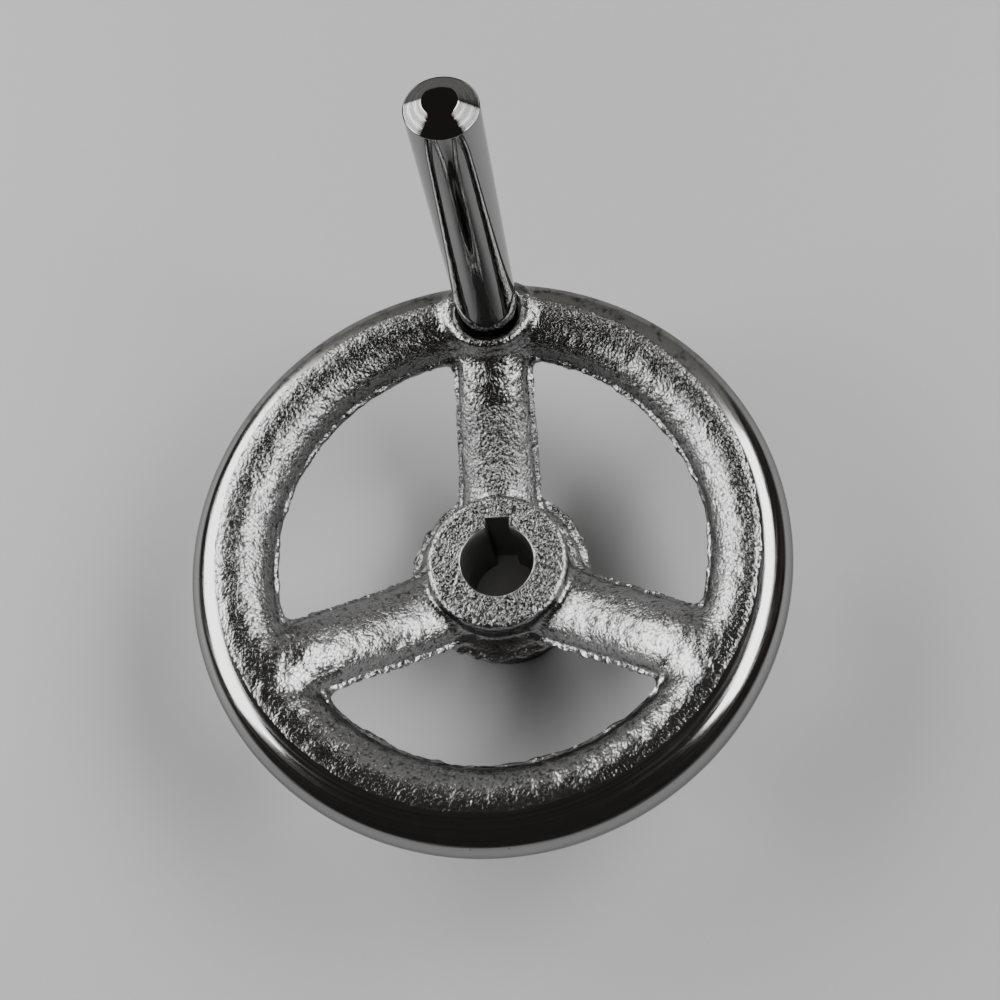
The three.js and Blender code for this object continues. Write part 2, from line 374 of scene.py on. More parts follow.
@node_group("lathe_rings", Axis_Y=0.0, Ring_Scale=6000.0)
def lathe_rings(tree: Tree, given: Sockets) -> Sockets:
    """The fine rings that a lathe tool leaves about an upright axis.

    Args:
        tree: The group's tree.
        given: The group's inputs.

    Returns:
        The group's outputs.
    """
    x, y, z = tree.parts(given["Position"])
    radius = tree.hypot(x, tree.math("SUBTRACT", y, given["Axis Y"]))
    along = tree.add("ShaderNodeCombineXYZ", {0: radius, 1: z})
    return {"Rings": tree.noise(along.outputs[0], given["Ring Scale"], 3.0, 0.7)}


# ---- Finishes ----


@dataclass(frozen=True)
class Finish(ABC):
    """A finish. Each kind writes what changes over the surface in dress()."""

    name: str
    colour: Colour
    roughness: float
    metallic: float = 1.0
    edge_tint: float = 1.0

    def material(self) -> bpy.types.Material:
        """Builds the finish's material, or returns the one already built.

        Returns:
            The material.
        """
        known = bpy.data.materials.get(self.name)
        if known is not None:
            return known
        made = bpy.data.materials.new(self.name)
        made.use_nodes = True
        tree = Tree(made.node_tree)
        shader = tree.add("ShaderNodeBsdfPrincipled", {
            "Metallic": self.metallic, "Base Color": self.colour, "Roughness": self.roughness,
            "Specular Tint": (self.edge_tint,) * 3})
        tree.add("ShaderNodeOutputMaterial", {"Surface": shader.outputs[0]})
        self.dress(tree, shader, tree.add("ShaderNodeTexCoord").outputs["Object"])
        return made

    @abstractmethod
    def dress(self, tree: Tree, shader: Node, place: Socket) -> None:
        """Adds what changes over the surface.

        Args:
            tree: The material's tree.
            shader: Its Principled BSDF.
            place: The position in the piece's own space.
        """


@dataclass(frozen=True)
class PlatedCasting(Finish):
    """Chrome plate over the cast skin, and over the ground outside of the rim."""

    rim_radius: float = 0.0411
    rim_height: float = 0.0254
    from_angle: float = 0.151
    to_angle: float = 2.76
    lean: Range = (-1.1, 2.6)
    edge_wander: float = 0.8
    edge_blend: Range = (0.17, 0.33)
    edge_tint: float = 0.55
    # Colour of the painted shade in the hollows between the grains.
    pit_shade_colour: Colour = (0.1, 0.1, 0.1)
    ground_colour: Colour = (0.33, 0.33, 0.327)
    # Colour of the painted shade on the lower part and far side of the ground band.
    painted_shade_colour: Colour = (0.2, 0.2, 0.19)
    speck_colour: Colour = (0.08, 0.072, 0.06)
    nick_colour: Colour = (0.08, 0.08, 0.08)
    pit_dulling: float = 1.5
    ground_roughness: float = 0.09
    streaks: Range = (0.4, 0.62)
    streak_dulling: float = 1.9
    dull_roughness: float = 0.3
    scratch_roughness: float = 0.12
    grain_depth: float = 0.00016
    near_grain_depth: float = 0.6 * 0.00016
    near_side: Range = (-0.024, 0.0)
    print_depth: float = 0.00018
    print_height: Range = (0.0184, 0.0188)
    print_reach: Range = (0.0245, 0.0235)
    coarse_depth: float = 0.0003
    coarse_from: Range = (0.011, 0.016)
    coarse_reach: Range = (0.037, 0.034)
    nick_depth: float = 0.000004
    line_depth: float = 0.000008

    def dress(self, tree: Tree, shader: Node, place: Socket) -> None:
        """Adds the skin's grain with painted shade in its pits, the ground band with its ragged edge, painted
        shade on the band's lower part and far side, and wear.

        Args:
            tree: The material's tree.
            shader: Its Principled BSDF.
            place: The position in the piece's own space.
        """
        skin = use_group(tree, cast_skin(), place)
        worn = use_group(tree, handling_wear(), place, Scratches=0.8)
        polish = use_group(tree, belt_polish(), place)
        band = use_group(tree, ground_rim_band(), place, Rim_Radius=self.rim_radius,
                         Rim_Height=self.rim_height, From_Angle=self.from_angle, To_Angle=self.to_angle,
                         Lean_X=self.lean[0], Lean_Y=self.lean[1])["Inside"]
        wander = tree.math("SUBTRACT", tree.noise(place, 500.0, 5.0, 0.6), 0.5)
        ground = tree.ramp(tree.total(band, tree.product(wander, self.edge_wander)), *self.edge_blend)

        # Painted shade: the pits between the grains get a darker colour.
        skin_colour = tree.mix(skin["Pits"], self.colour, self.pit_shade_colour)
        bright = self.ground_colour
        # The ground band's colour takes painted shade on its lower part and far side, then specks and nicks.
        for mask, colour in ((polish["Dull"], self.painted_shade_colour), (polish["Specks"], self.speck_colour),
                             (worn["Nicks"], self.nick_colour)):
            bright = tree.mix(mask, bright, colour)

        skin_rough = tree.blend(skin["Pits"], self.roughness, self.roughness * self.pit_dulling)
        ground_rough = tree.ramp(polish["Lines"], *self.streaks, self.ground_roughness,
                                 self.ground_roughness * self.streak_dulling)
        ground_rough = tree.blend(polish["Dull"], ground_rough, self.dull_roughness)
        ground_rough = tree.total(ground_rough, tree.product(worn["Scratches"], self.scratch_roughness))

        y, z = tree.parts(place)[1:]
        from_middle = tree.length(place)
        printed = tree.product(tree.ramp(z, *self.print_height), tree.ramp(from_middle, *self.print_reach))
        coarse = tree.product(tree.ramp(y, *self.coarse_from), tree.ramp(from_middle, *self.coarse_reach))
        depth = tree.ramp(y, *self.near_side, self.near_grain_depth, self.grain_depth)
        depth = tree.blend(printed, depth, self.print_depth)
        depth = tree.blend(coarse, depth, self.coarse_depth)
        ground_height = tree.total(tree.product(worn["Nicks"], -self.nick_depth),
                                   tree.product(polish["Lines"], self.line_depth))
        height = tree.blend(ground, tree.product(skin["Height"], depth), ground_height)
        tree.feed(shader, {"Base Color": tree.mix(ground, skin_colour, bright),
                           "Roughness": tree.blend(ground, skin_rough, ground_rough),
                           "Normal": tree.bump(height)})


@dataclass(frozen=True)
class TurnedMetal(Finish):
    """Metal finished on a lathe, plated or bare, with fine tool rings about its axis."""

    axis_y: float = 0.0
    ring_depth: float = 0.000002
    ring_scale: float = 6000.0
    nick_depth: float = 0.000003
    nick_shade: float = 0.8
    scratches: float = 0.3
    scratch_roughness: float = 0.15
    haze_dulling: float = 1.4
    edge_tint: float = 0.82

    def dress(self, tree: Tree, shader: Node, place: Socket) -> None:
        """Adds tool rings, light scratches and uneven gloss.

        Args:
            tree: The material's tree.
            shader: Its Principled BSDF.
            place: The position in the piece's own space.
        """
        rings = use_group(tree, lathe_rings(), place, Axis_Y=self.axis_y, Ring_Scale=self.ring_scale)["Rings"]
        worn = use_group(tree, handling_wear(), place, Scratches=self.scratches)
        rough = tree.blend(worn["Haze"], self.roughness, self.roughness * self.haze_dulling)
        rough = tree.total(rough, tree.product(worn["Scratches"], self.scratch_roughness))
        darker = tuple(c * self.nick_shade for c in self.colour)
        height = tree.math("SUBTRACT", tree.product(rings, self.ring_depth),
                           tree.product(worn["Nicks"], self.nick_depth))
        colour = tree.mix(worn["Nicks"], self.colour, darker)
        tree.feed(shader, {"Base Color": colour, "Roughness": rough, "Normal": tree.bump(height)})


@dataclass(frozen=True)
class TableTop(Finish):
    """A smooth pale top with the faintest mottling, with painted shade that darkens it beyond a circle round
    the middle.
    """

    metallic: float = 0.0
    mottling: float = 1.03
    lit_reach: float = 0.3
    lit_fade: float = 1.35
    # Colour of the painted shade beyond the lit circle.
    painted_falloff_shade: Colour = (0.13, 0.127, 0.115)

    def dress(self, tree: Tree, shader: Node, place: Socket) -> None:
        """Adds the mottling, and the painted shade beyond the lit circle.

        Args:
            tree: The material's tree.
            shader: Its Principled BSDF.
            place: The position in the piece's own space.
        """
        lighter = tuple(min(1.0, c * self.mottling) for c in self.colour)
        sheet = tree.mix(tree.noise(place, 400.0, 5.0), self.colour, lighter)
        # Painted shade: beyond a circle round the middle the top fades to a dark colour, as if the light fell
        # off there.
        beyond = tree.ramp(tree.length(place), self.lit_reach, self.lit_reach * self.lit_fade)
        tree.feed(shader, {"Base Color": tree.mix(beyond, sheet, self.painted_falloff_shade)})


# ---- Mesh making ----


def show(mesh: Mesh) -> Piece:
    """Adds an object of the mesh's name to the scene.

    Args:
        mesh: The mesh, already in its place.

    Returns:
        The new object.
    """
    shown = bpy.data.objects.new(mesh.name, mesh)
    bpy.context.scene.collection.objects.link(shown)
    return shown


def new_piece(mesh: Mesh, finish: Finish, body: str, node: str) -> Piece:
    """Adds a finished piece to the scene and ties it to the frame.

    Args:
        mesh: Its mesh, already in its place.
        finish: What it is made of.
        body: The body it rides on.
        node: The CAD node that it stands for.

    Returns:
        The new object.
    """
    mesh.materials.append(finish.material())
    piece = show(mesh)
    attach(piece, body)
    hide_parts(node)
    return piece


def mesh_of(name: str, points: Array, faces: Sequence[Sequence[int]], smooth: bool = True) -> Mesh:
    """Makes a mesh.

    Args:
        name: Its name.
        points: One row for each point.
        faces: The points of each face, anticlockwise from outside.
        smooth: Whether its faces are shaded smooth.

    Returns:
        The mesh.
    """
    mesh = bpy.data.meshes.new(name)
    mesh.from_pydata(points.tolist(), [], faces)
    mesh.polygons.foreach_set("use_smooth", np.full(len(mesh.polygons), smooth))
    mesh.update()
    return mesh


def turned_grid(rows: int, steps: int, closed: bool) -> list[list[int]]:
    """Quads between neighbouring rows of a turned surface, whose columns go once round.

    Args:
        rows: How many rows of points there are.
        steps: How many points each row has.
        closed: Whether the last row joins the first.

    Returns:
        The quads.
    """
    faces = []
    for i in range(rows if closed else rows - 1):
        lower, upper = i * steps, ((i + 1) % rows) * steps
        around = [(j, (j + 1) % steps) for j in range(steps)]
        faces += [[lower + j, lower + k, upper + k, upper + j] for j, k in around]
    return faces


def lathe(name: str, outline: Outline, centre: Sequence[float], steps: int,
          radius_of: Field | None = None) -> Mesh:
    """Revolves an outline about an upright axis.

    Args:
        name: The mesh's name.
        outline: Radius and height pairs, anticlockwise round the metal with the axis on the left.
            One that starts and ends on the axis gets a point there; any other closes on itself.
        centre: A point on the axis. The outline's heights are counted from it.
        steps: How many columns go round.
        radius_of: Changes a ring's radii, from its radius, height and the columns' angles.

    Returns:
        The mesh, closed and smooth.
    """
    on_axis = outline[0][0] == 0.0 and outline[-1][0] == 0.0
    rings = outline[1:-1] if on_axis else outline
    angles = np.linspace(0.0, 2.0 * math.pi, steps, endpoint=False)
    points = []
    for radius, height in rings:
        radii = np.full(steps, radius)
        if radius_of is not None:
            radii = radius_of(radii, np.full(steps, height), angles)
        across = np.column_stack([np.cos(angles), np.sin(angles)]) * radii[:, None]
        points.append(np.column_stack([across, np.full(steps, height)]))
    stacked = np.vstack(points)
    faces = turned_grid(len(rings), steps, closed=not on_axis)
    if on_axis:
        last = len(stacked)
        stacked = np.vstack([stacked, [0.0, 0.0, outline[0][1]], [0.0, 0.0, outline[-1][1]]])
        top_ring = (len(rings) - 1) * steps
        faces += [[last, (j + 1) % steps, j] for j in range(steps)]
        faces += [[last + 1, top_ring + j, top_ring + (j + 1) % steps] for j in range(steps)]
    return mesh_of(name, stacked + np.array(centre), faces)


def arc(centre: Range, radius: float, start: float, end: float, steps: int) -> list[Range]:
    """Points of a circular arc in an outline, with angles in degrees from the outward direction."""
    angles = np.radians(np.linspace(start, end, steps + 1))
    return [(centre[0] + radius * math.cos(a), centre[1] + radius * math.sin(a)) for a in angles]


def block(name: str, low: Sequence[float], high: Sequence[float]) -> Mesh:
    """Makes a plain box, for cutting with.

    Args:
        name: The mesh's name.
        low: Its lowest corner.
        high: Its highest corner.

    Returns:
        The mesh.
    """
    points = [(x, y, z) for x in (low[0], high[0]) for y in (low[1], high[1]) for z in (low[2], high[2])]
    faces = [[0, 1, 3, 2], [4, 6, 7, 5], [0, 4, 5, 1], [2, 3, 7, 6], [0, 2, 6, 4], [1, 5, 7, 3]]
    return mesh_of(name, np.array(points), faces, smooth=False)


def cut(piece: Piece, tools: Sequence[Mesh], fresh: Finish) -> None:
    """Cuts tools out of a piece and removes the tools.

    Args:
        piece: The piece to cut.
        tools: Closed meshes.
        fresh: The finish of the cut faces.
    """
    for tool in tools:
        tool.materials.append(fresh.material())
        modifier = piece.modifiers.new(tool.name, "BOOLEAN")
        modifier.operation = "DIFFERENCE"
        modifier.object = show(tool)
        modifier.solver = "EXACT"
        modifier.material_mode = "TRANSFER"
    bpy.context.view_layer.update()
    graph = bpy.context.evaluated_depsgraph_get()
    result = bpy.data.meshes.new_from_object(piece.evaluated_get(graph), depsgraph=graph)
    piece.modifiers.clear()
    old, piece.data = piece.data, result
    result.name = old.name
    bpy.data.meshes.remove(old)
    for tool in tools:
        bpy.data.meshes.remove(tool)


def sharpen(mesh: Mesh, degrees: float) -> None:
    """Marks edges sharper than an angle, so that smooth shading stops at them."""
    mesh.set_sharp_from_angle(angle=math.radians(degrees))


# ---- Solids as distance fields, for the casting ----


def smooth_union(first: Array, second: Array, fillet: float) -> Array:
    """Joins two distance fields with a fillet between them."""
    share = np.clip(0.5 + 0.5 * (second - first) / fillet, 0.0, 1.0)
    return second + (first - second) * share - fillet * share * (1.0 - share)


def round_bar(out: Array, up: Array, radius: float, low: float, high: float, edge: float) -> Array:
    """Distance to an upright cylinder with rounded edges.

    Args:
        out: Distance from its axis.
        up: Height.
        radius: The cylinder's radius.
        low: Height of its foot.
        high: Height of its top.
        edge: Radius of the rounded edges.

    Returns:
        The distance, negative inside.
    """
    side = out - radius + edge
    cap = np.abs(up - 0.5 * (low + high)) - 0.5 * (high - low) + edge
    outside = np.hypot(np.maximum(side, 0.0), np.maximum(cap, 0.0))
    return np.minimum(np.maximum(side, cap), 0.0) + outside - edge


def oval(across: Array, up: Array, half_width: Array | float, half_height: float,
         slope: Array | float = 0.0) -> Array:
    """Distance to a bar of oval section, right near its surface only.

    Args:
        across: Sideways distance from the bar's middle.
        up: Upward distance from the bar's middle.
        half_width: Half the section's width.
        half_height: Half its height.
        slope: How steeply the bar climbs.

    Returns:
        The distance, negative inside.
    """
    first = np.hypot(across / half_width, up / half_height)
    second = np.sqrt((across / half_width**2) ** 2 + (up / half_height**2) ** 2 * (1.0 + slope**2))
    return first * (first - 1.0) / np.maximum(second, 1e-6)


def net_surface(distance: Field, low: Vector, high: Vector, pitch: float) -> tuple[Array, Array]:
    """Wraps a distance field in a net of quads.

    Args:
        distance: Gives the distance at points, negative inside.
        low: The lowest corner of the space to search.
        high: The highest corner.
        pitch: The net's spacing.

    Returns:
        The net's points, drawn onto the surface, and its quads.
    """
    axes = [np.arange(low[i], high[i] + pitch, pitch) for i in range(3)]
    grid = np.meshgrid(*axes, indexing="ij")
    values = distance(*grid)
    inside = values < 0.0
    shape = tuple(n - 1 for n in inside.shape)
    corners = [(i, j, k) for i in (0, 1) for j in (0, 1) for k in (0, 1)]

    count = sum(inside[tuple(slice(i, i + n) for i, n in zip(at, shape))].astype(np.int8) for at in corners)
    active = (count > 0) & (count < len(corners))
    cell = np.argwhere(active)
    number = np.full(shape, -1, dtype=np.int64)
    number[active] = np.arange(len(cell))

    total = np.zeros((len(cell), 3))
    crossings = np.zeros(len(cell))
    for axis in range(3):
        for at in (c for c in corners if c[axis] == 0):
            start = cell + at
            first = values[tuple(start.T)]
            second = values[tuple((start + np.eye(3, dtype=int)[axis]).T)]
            crossed = (first < 0.0) != (second < 0.0)
            point = np.tile(np.array(at, dtype=float), (len(cell), 1))
            point[:, axis] += np.where(crossed, first / np.where(crossed, first - second, 1.0), 0.0)
            total += point * crossed[:, None]
            crossings += crossed
    points = (cell + total / crossings[:, None]) * pitch + np.array([axis[0] for axis in axes])

    quads = []
    for axis in range(3):
        other, third = (axis + 1) % 3, (axis + 2) % 3
        edge = np.argwhere(np.diff(inside, axis=axis))
        for side in (other, third):
            edge = edge[(edge[:, side] > 0) & (edge[:, side] < shape[side])]
        around = []
        for back_other, back_third in ((1, 1), (0, 1), (0, 0), (1, 0)):
            near = edge.copy()
            near[:, other] -= back_other
            near[:, third] -= back_third
            around.append(number[tuple(near.T)])
        quad = np.column_stack(around)
        quads.append(np.where(inside[tuple(edge.T)][:, None], quad, quad[:, ::-1]))
    return settle(distance, points, pitch), np.vstack(quads)


def slope_of(distance: Field, points: Array, reach: float) -> Array:
    """The gradient of a distance field.

    Args:
        distance: The field.
        points: Where to take it.
        reach: How far to each side to look.

    Returns:
        One gradient for each point.
    """
    gradient = np.zeros_like(points)
    for axis in range(3):
        step = np.zeros(3)
        step[axis] = reach
        gradient[:, axis] = (distance(*(points + step).T) - distance(*(points - step).T)) / (2.0 * reach)
    return gradient


def settle(distance: Field, points: Array, pitch: float, rounds: int = 3) -> Array:
    """Moves points along the field's slope until they lie on its surface.

    Args:
        distance: The field.
        points: The points to move.
        pitch: The net's spacing. No round moves a point more than half of it.
        rounds: How many times to move them.

    Returns:
        The moved points.
    """
    least_slope = 0.05
    for _ in range(rounds):
        slope = slope_of(distance, points, 0.1 * pitch)
        steep = np.maximum((slope**2).sum(axis=1), least_slope)
        move = slope * (distance(*points.T) / steep)[:, None]
        points = points - np.clip(move, -0.5 * pitch, 0.5 * pitch)
    return points


# ---- The casting ----


@dataclass
class WheelCasting:
    """The cast wheel: rim, spokes, hub and handle boss in one piece, with its cut holes."""

    pitch: float = 0.46 * MM
    rim_width: float = 12.8 * MM
    rim_thickness: float = 11.0 * MM
    rim_lift: float = 13.0 * MM
    hub_parting: float = 12.4 * MM
    hub_length: float = 19.2 * MM
    front_hub: float = 11.5 * MM
    rear_hub: float = 12.7 * MM
    hub_swell: float = 14.2 * MM
    hub_edge: float = 0.6 * MM
    spokes: int = 3
    spoke_at_hub: float = 12.6 * MM
    spoke_at_rim: float = 11.4 * MM
    spoke_thickness: float = 8.8 * MM
    spoke_root: float = 2.5 * MM
    spoke_tip: float = 4.0 * MM
    spoke_fillet: float = 2.0 * MM
    hub_fillet: float = 1.7 * MM
    hub_join: float = 4.0 * MM
    swell_section: Range = (4.0 * MM, 2.6 * MM)
    swell_drop: float = 1.6 * MM
    swell_fillet: float = 1.5 * MM
    boss_radius: float = 7.3 * MM
    boss_edge: float = 0.9 * MM
    boss_fillet: float = 1.9 * MM
    boss_root: float = 3.0 * MM
    fin_root: float = 2.0 * MM
    fin_drop: float = 0.8 * MM
    rim_fin: Range = (0.2, 0.55)
    spoke_fin: Range = (0.55, 0.35)
    hub_fin: Range = (0.3, 0.9)
    fin_half: float = 0.35 * MM
    fin_reach: float = 1.15 * MM
    fin_fillet: float = 0.4 * MM
    bore_radius: float = 6.0 * MM
    key_width: float = 4.0 * MM
    key_depth: float = 1.5 * MM
    socket_clearance: float = 0.5 * MM
    socket_depth: float = 3.2 * MM
    rear_seat_depth: float = 0.6 * MM
    nut_seat_radius: float = 6.3 * MM
    stud_hole: float = 3.15 * MM
    ground_from: float = 8.7
    ground_to: float = 158.0
    ground_lean: Range = (-2.7, 6.3)
    skin_step: float = 0.1 * MM
    skin_edge: float = 0.6
    lumps: tuple[Range, ...] = ((330.0, 0.1 * MM), (800.0, 0.12 * MM))
    bore_chamfer: float = 0.04 * MM
    rim_tolerance: float = 0.05 * MM
    seed: int = 7
    skin: PlatedCasting = field(
        default_factory=lambda: PlatedCasting("chrome_plated_casting", (0.345, 0.345, 0.342), 0.17))
    machined: TurnedMetal = field(
        default_factory=lambda: TurnedMetal("bored_iron", (0.34, 0.34, 0.33), 0.3, ring_depth=0.000006))
    low: Vector = field(init=False)
    high: Vector = field(init=False)

    def __post_init__(self) -> None:
        """Reads the places from the frame and works out the rest."""
        self.low, self.high = (Vector(corner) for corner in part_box("wheel_casting"))
        grip_low, grip_high = (Vector(corner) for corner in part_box("handle_grip"))
        self.outer = 0.5 * (self.high.x - self.low.x)
        self.middle = self.outer - 0.5 * self.rim_width
        self.inner = self.outer - self.rim_width
        self.rim_height = self.low.z + self.hub_parting + self.rim_lift
        self.handle_y = 0.5 * (grip_low.y + grip_high.y)
        self.grip_radius = 0.5 * (grip_high.x - grip_low.x)
        self.boss_top = self.high.z
        rng = np.random.default_rng(self.seed)
        self.stations = np.linspace(-math.pi, math.pi, 361)
        jags = rng.random(360)
        jags = 0.5 * jags + 0.25 * (np.roll(jags, 1) + np.roll(jags, -1))
        slow = np.interp(np.arange(360), np.arange(0, 361, 8), np.append(rng.random(45), 0.5))
        jags = 0.55 * jags + 0.45 * slow
        jags = np.clip((jags - jags.min()) / (jags.max() - jags.min()), 0.0, 1.0) ** 1.4
        self.jags = np.append(jags, jags[0])

    def fin_at(self, angle: Array, least: float, more: float) -> Array:
        """How far the casting fin stands out at an angle: a least share of its reach, and more by chance."""
        return self.fin_reach * (least + more * np.interp(angle, self.stations, self.jags))

    def spoke_height(self, out: Array) -> tuple[Array, Array]:
        """The line that a spoke's middle follows.

        Args:
            out: Distances from the bore's axis.

        Returns:
            The heights there, and how steeply the line climbs.
        """
        leaves = self.front_hub - self.spoke_root
        arrives = self.inner + 0.18 * self.rim_width
        share = np.clip((out - leaves) / (arrives - leaves), 0.0, 1.0)
        height = self.low.z + self.hub_parting + self.rim_lift * share**2 * (3.0 - 2.0 * share)
        slope = self.rim_lift * 6.0 * share * (1.0 - share) / (arrives - leaves)
        return height, slope

    def rim_field(self, x: Array, y: Array, z: Array) -> Array:
        """Distance to the rim with the fin along its inner side.

        Args:
            x: The points' first coordinates.
            y: Their second.
            z: Their third.

        Returns:
            The distances, negative inside.
        """
        out = np.hypot(x, y)
        up = z - self.rim_height
        ring = oval(out - self.middle, up, 0.5 * self.rim_width, 0.5 * self.rim_thickness)
        reach = self.fin_at(np.arctan2(y, x), *self.rim_fin)
        fin = np.maximum(np.abs(up) - self.fin_half, self.inner - reach - out)
        fin = np.maximum(fin, out - self.inner - self.fin_root)
        return smooth_union(ring, fin, self.fin_fillet)

    def spoke_field(self, x: Array, y: Array, z: Array) -> Array:
        """Distance to the nearest spoke, with the fins along its two sides.

        Args:
            x: The points' first coordinates.
            y: Their second.
            z: Their third.

        Returns:
            The distances, negative inside.
        """
        turn = 2.0 * math.pi / self.spokes
        angle = np.arctan2(y, x) - 0.5 * math.pi
        which = np.round(angle / turn)
        local = angle - which * turn
        flat = np.hypot(x, y)
        out, across = flat * np.cos(local), flat * np.sin(local)
        height, slope = self.spoke_height(out)
        share = np.clip((out - self.front_hub) / (self.inner - self.front_hub), 0.0, 1.0)
        half = 0.5 * (self.spoke_at_hub + (self.spoke_at_rim - self.spoke_at_hub) * share)
        up = z - height
        bar = oval(across, up, half, 0.5 * self.spoke_thickness, slope)
        reach = self.fin_at((out * 40.0 + which + 0.3 * np.sign(across)) % 6.0 - 3.0, *self.spoke_fin)
        fin = np.maximum(np.abs(up) - self.fin_half, np.abs(across) - half - reach)
        bar = smooth_union(bar, fin, self.fin_fillet)
        ends = np.maximum(self.bore_radius - out, out - self.inner - self.spoke_tip)
        return np.maximum(bar, ends)

    def hub_field(self, x: Array, y: Array, z: Array) -> Array:
        """Distance to the hub: front boss, rear boss and the swelling at the parting line.

        Args:
            x: The points' first coordinates.
            y: Their second.
            z: Their third.

        Returns:
            The distances, negative inside.
        """
        out = np.hypot(x, y)
        up = z - self.low.z
        parting, edge = self.hub_parting, self.hub_edge
        front = round_bar(out, up, self.front_hub, parting - self.hub_join, self.hub_length, edge)
        rear = round_bar(out, up, self.rear_hub, 0.0, parting, edge)
        swell_out = np.maximum(out - self.hub_swell + self.swell_section[0], 0.0)
        swell = oval(swell_out, up - parting + self.swell_drop, *self.swell_section)
        reach = self.fin_at(np.arctan2(x, y), *self.hub_fin)
        fin = np.maximum(np.abs(up - parting + self.fin_drop) - self.fin_half, out - self.hub_swell - reach)
        body = smooth_union(smooth_union(front, rear, self.swell_fillet), swell, self.swell_fillet)
        return smooth_union(body, fin, self.fin_fillet)

    def boss_field(self, x: Array, y: Array, z: Array) -> Array:
        """Distance to the handle boss, kept inside the rim's outer curve.

        Args:
            x: The points' first coordinates.
            y: Their second.
            z: Their third.

        Returns:
            The distances, negative inside.
        """
        out = np.hypot(x, y - self.handle_y)
        foot, edge = self.rim_height - self.boss_root, self.boss_edge
        post = round_bar(out, z, self.boss_radius, foot, self.boss_top, edge)
        dish = np.hypot(np.maximum(self.boss_radius - edge - out, 0.0), z - self.boss_top + edge)
        post = np.maximum(post, np.where(z > self.boss_top - edge, dish - edge, post))
        beyond = np.maximum(np.hypot(x, y) - self.middle, 0.0)
        rise, up = self.boss_top - self.rim_height, np.maximum(z - self.rim_height, 0.0)
        return np.maximum(post, oval(beyond, up, 0.5 * self.rim_width, rise))

    def distance(self, x: Array, y: Array, z: Array) -> Array:
        """Distance to the whole casting before its holes are cut.

        Args:
            x: The points' first coordinates.
            y: Their second.
            z: Their third.

        Returns:
            The distances, negative inside.
        """
        solid = smooth_union(self.rim_field(x, y, z), self.spoke_field(x, y, z), self.spoke_fillet)
        solid = smooth_union(solid, self.boss_field(x, y, z), self.boss_fillet)
        return smooth_union(solid, self.hub_field(x, y, z), self.hub_fillet)

    def ground_band(self, points: Array) -> Array:
        """How far points lie inside the ground band on the outside of the rim.

        Args:
            points: One row for each point.

        Returns:
            Millimetres inside the band, negative outside it.
        """
        out = np.hypot(points[:, 0], points[:, 1])
        angle = np.degrees(np.arctan2(out - self.middle, points[:, 2] - self.rim_height))
        start = self.ground_from + points[:, :2] @ np.array(self.ground_lean) / self.outer
        inside = np.minimum(angle - start, self.ground_to - angle)
        return np.radians(inside) * 0.5 * self.rim_width / MM

    def roughen(self, points: Array) -> Array:
        """Moves the points of the cast skin in and out, and leaves the ground band smooth.

        Args:
            points: One row for each point.

        Returns:
            The moved points.
        """
        normals = slope_of(self.distance, points, 0.3 * self.pitch)
        normals /= np.linalg.norm(normals, axis=1, keepdims=True)
        skin = np.clip(-self.ground_band(points) / self.skin_edge, 0.0, 1.0)
        skin *= np.clip((points[:, 2] - self.low.z) / self.hub_edge, 0.0, 1.0)
        lift = np.array([sum(depth * noise.noise(place * scale) for scale, depth in self.lumps)
                         for place in map(Vector, points)])
        return points + normals * ((lift + self.skin_step) * skin)[:, None]

    def cutters(self) -> list[Mesh]:
        """The tools that cut the keyed bore, the handle socket with its stud hole, and the nut seat.

        Returns:
            The closed meshes to cut with.
        """
        over, chamfer = 2.0 * MM, self.bore_chamfer
        bore, top = self.bore_radius, self.hub_length
        bore_tool = lathe("bore_tool", [
            (0.0, -over), (bore + over + chamfer, -over), (bore, chamfer), (bore, top - chamfer),
            (bore + over + chamfer, top + over), (0.0, top + over)], (0.0, 0.0, self.low.z), 180)
        half, reach = 0.5 * self.key_width, bore + self.key_depth
        key_tool = block("key_tool", (-half, 0.0, self.low.z - over), (half, reach, self.low.z + top + over))
        socket_floor = self.boss_top - self.socket_depth
        socket = self.grip_radius + self.socket_clearance
        nut_seat = self.rim_height - 0.5 * self.rim_thickness + self.rear_seat_depth
        seat, hole = self.nut_seat_radius, self.stud_hole
        below, above = nut_seat - 2.0 * over, self.boss_top + over
        handle_tool = lathe("handle_tool", [
            (0.0, below), (seat, below), (seat, nut_seat), (hole, nut_seat), (hole, socket_floor),
            (socket, socket_floor), (socket, above), (0.0, above)], (0.0, self.handle_y, 0.0), 120)
        return [bore_tool, key_tool, handle_tool]

    def smooth_normals(self, mesh: Mesh) -> None:
        """Gives the ground band the normals of the true rim, and leaves the rest as the mesh has them.

        Args:
            mesh: The cut casting.
        """
        points = np.empty((len(mesh.vertices), 3))
        mesh.vertices.foreach_get("co", points.ravel())
        corners = np.empty(len(mesh.loops), dtype=np.int64)
        mesh.loops.foreach_get("vertex_index", corners)
        normals = np.empty((len(mesh.loops), 3))
        mesh.corner_normals.foreach_get("vector", normals.ravel())
        exact = slope_of(self.distance, points, 0.2 * self.pitch)
        exact /= np.maximum(np.linalg.norm(exact, axis=1, keepdims=True), 1e-9)
        on_rim = (self.ground_band(points) > 0.0) & (np.abs(self.distance(*points.T)) < self.rim_tolerance)
        mesh.normals_split_custom_set(np.where(on_rim[corners][:, None], exact[corners], normals).tolist())

